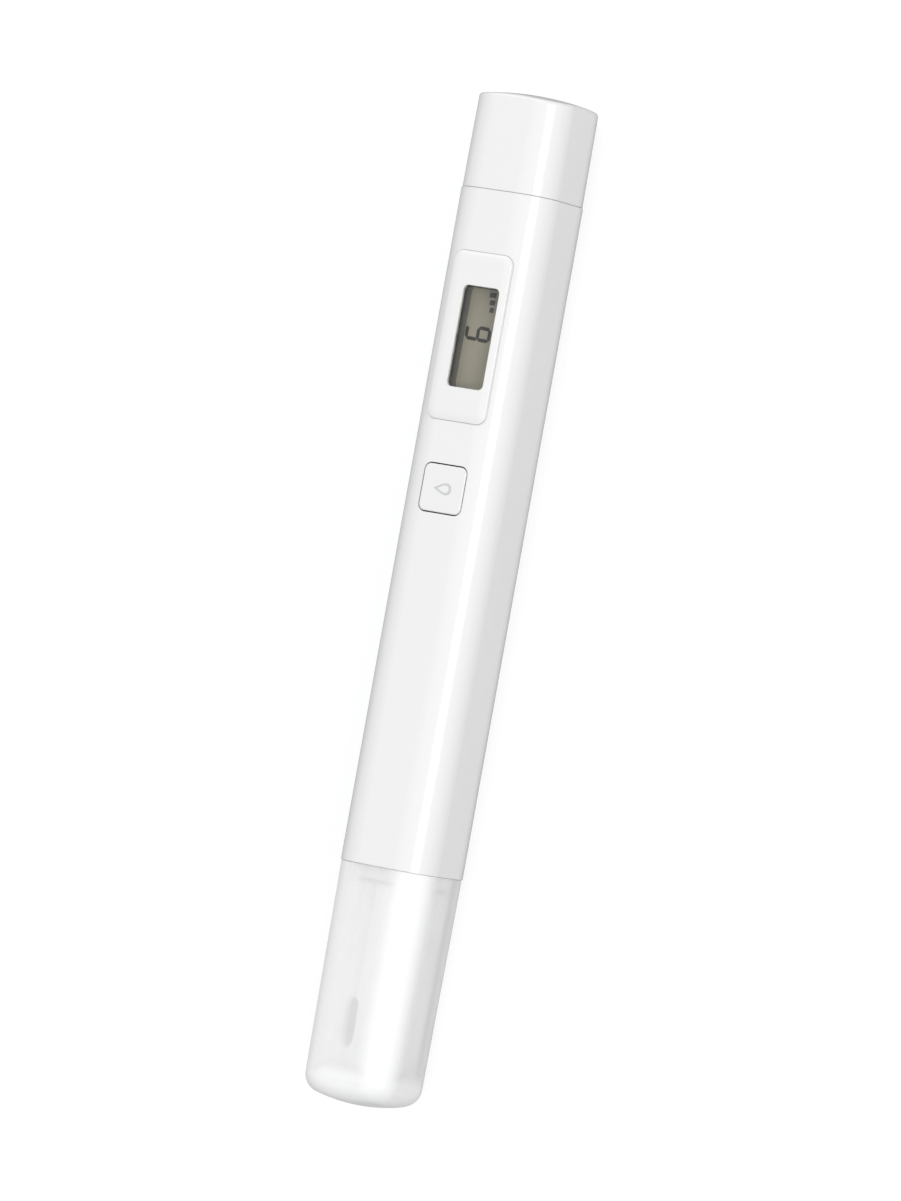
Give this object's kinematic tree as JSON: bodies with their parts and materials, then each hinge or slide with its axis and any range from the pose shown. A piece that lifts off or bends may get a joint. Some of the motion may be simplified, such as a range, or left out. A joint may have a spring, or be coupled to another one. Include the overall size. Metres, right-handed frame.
{
  "type": "digital water tester",
  "caption": "Pen-shaped digital water tester: square body with a small display and key, a push-off battery cap and a translucent cap over two probe pins.",
  "frame": {"origin": "below the middle of the pen, in the plane of the body's flat back that it lies on", "axes": "+X along the pen from the probe end to the battery end, +Z out of the display face, +Y to the pen's left when the display is read along +X"},
  "size_m": [0.1518, 0.0162, 0.0165],
  "materials": {
    "white_shell": "smooth glossy white",
    "white_key": "smooth glossy white",
    "frosted_cap": "translucent milky white",
    "natural_housing": "satin off-white",
    "clear_lens": "polished clear",
    "dark_frame": "fine matte",
    "polariser": "satin grey-green film",
    "panel_glass": "clear, lightly tinted",
    "reflector": "satin silver-grey film",
    "foam": "open foam",
    "zebra_rubber": "striped grey",
    "grey_rubber": "smooth",
    "orange_rubber": "smooth",
    "black_plastic": "fine matte",
    "spring_steel": "bright rolled",
    "board_green": "satin solder mask",
    "crystal_can": "bright drawn",
    "tan_ceramic": "satin",
    "black_ceramic": "satin",
    "screw_steel": "zinc plated",
    "carrier_plastic": "fine matte",
    "frame_plastic": "fine matte",
    "cell_nickel": "bright nickel plate",
    "cell_seal": "moulded nylon",
    "cell_fill": "pressed powder",
    "pin_titanium": "fine drawn grey",
    "sensor_steel": "polished",
    "resin": "cast, glossy black",
    "lead_red": "smooth insulation",
    "lead_white": "smooth insulation",
    "lead_black": "smooth insulation",
    "lead_yellow": "smooth insulation"
  },
  "bodies": {
    "pen_body": {"body_shell": "white_shell", "display_bezel": "white_shell", "display_window": "clear_lens", "lcd_frame": "dark_frame", "lcd_front_polariser": "polariser", "lcd_front_glass": "panel_glass", "lcd_rear_glass": "panel_glass", "lcd_reflector": "reflector", "lcd_backing_pad": "foam", "zebra_strips": "zebra_rubber", "switch_body": "black_plastic", "switch_cover_plate": "spring_steel", "switch_terminals": "spring_steel", "circuit_board": "board_green", "controller_chip": "black_plastic", "clock_crystal": "crystal_can", "chip_capacitors": "tan_ceramic", "chip_resistors": "black_ceramic", "board_screws": "screw_steel", "inner_carrier": "carrier_plastic", "battery_frame": "frame_plastic", "frame_screws": "screw_steel", "positive_contact": "spring_steel", "negative_contact": "spring_steel", "probe_housing": "natural_housing", "probe_potting": "resin", "housing_seal": "orange_rubber", "temperature_sensor": "sensor_steel", "lower_cell_can": "cell_nickel", "upper_cell_can": "cell_nickel", "lower_cell_lid": "cell_nickel", "upper_cell_lid": "cell_nickel", "lower_cell_seal": "cell_seal", "upper_cell_seal": "cell_seal", "lower_cell_core": "cell_fill", "upper_cell_core": "cell_fill", "left_electrode_pin": "pin_titanium", "right_electrode_pin": "pin_titanium", "left_pin_gland": "orange_rubber", "right_pin_gland": "orange_rubber", "left_pin_lead": "lead_red", "right_pin_lead": "lead_white", "left_sensor_lead": "lead_black", "right_sensor_lead": "lead_yellow"},
    "probe_cap": {"probe_cap": "frosted_cap"},
    "battery_cap": {"battery_cap": "white_shell"},
    "button": {"button_key": "white_key", "button_gasket": "grey_rubber"},
    "plunger": {"switch_plunger": "black_plastic"}
  },
  "joints": [
    {"name": "probe_cap_pull", "type": "slide", "parent": "pen_body", "child": "probe_cap", "axis": [-1, 0, 0], "range_m": [0, 0.04]},
    {"name": "battery_cap_pull", "type": "slide", "parent": "pen_body", "child": "battery_cap", "axis": [1, 0, 0], "range_m": [0, 0.022]},
    {"name": "button_press", "type": "slide", "parent": "pen_body", "child": "button", "axis": [0, 0, -1], "range_m": [0, 0.0003], "stiffness_N_per_m": 600},
    {"name": "plunger_travel", "type": "slide", "parent": "pen_body", "child": "plunger", "axis": [0, 0, -1], "range_m": [0, 0.0003]}
  ],
  "couplings": [
    {"joint": "plunger_travel", "follows": "button_press", "ratio": 1}
  ]
}
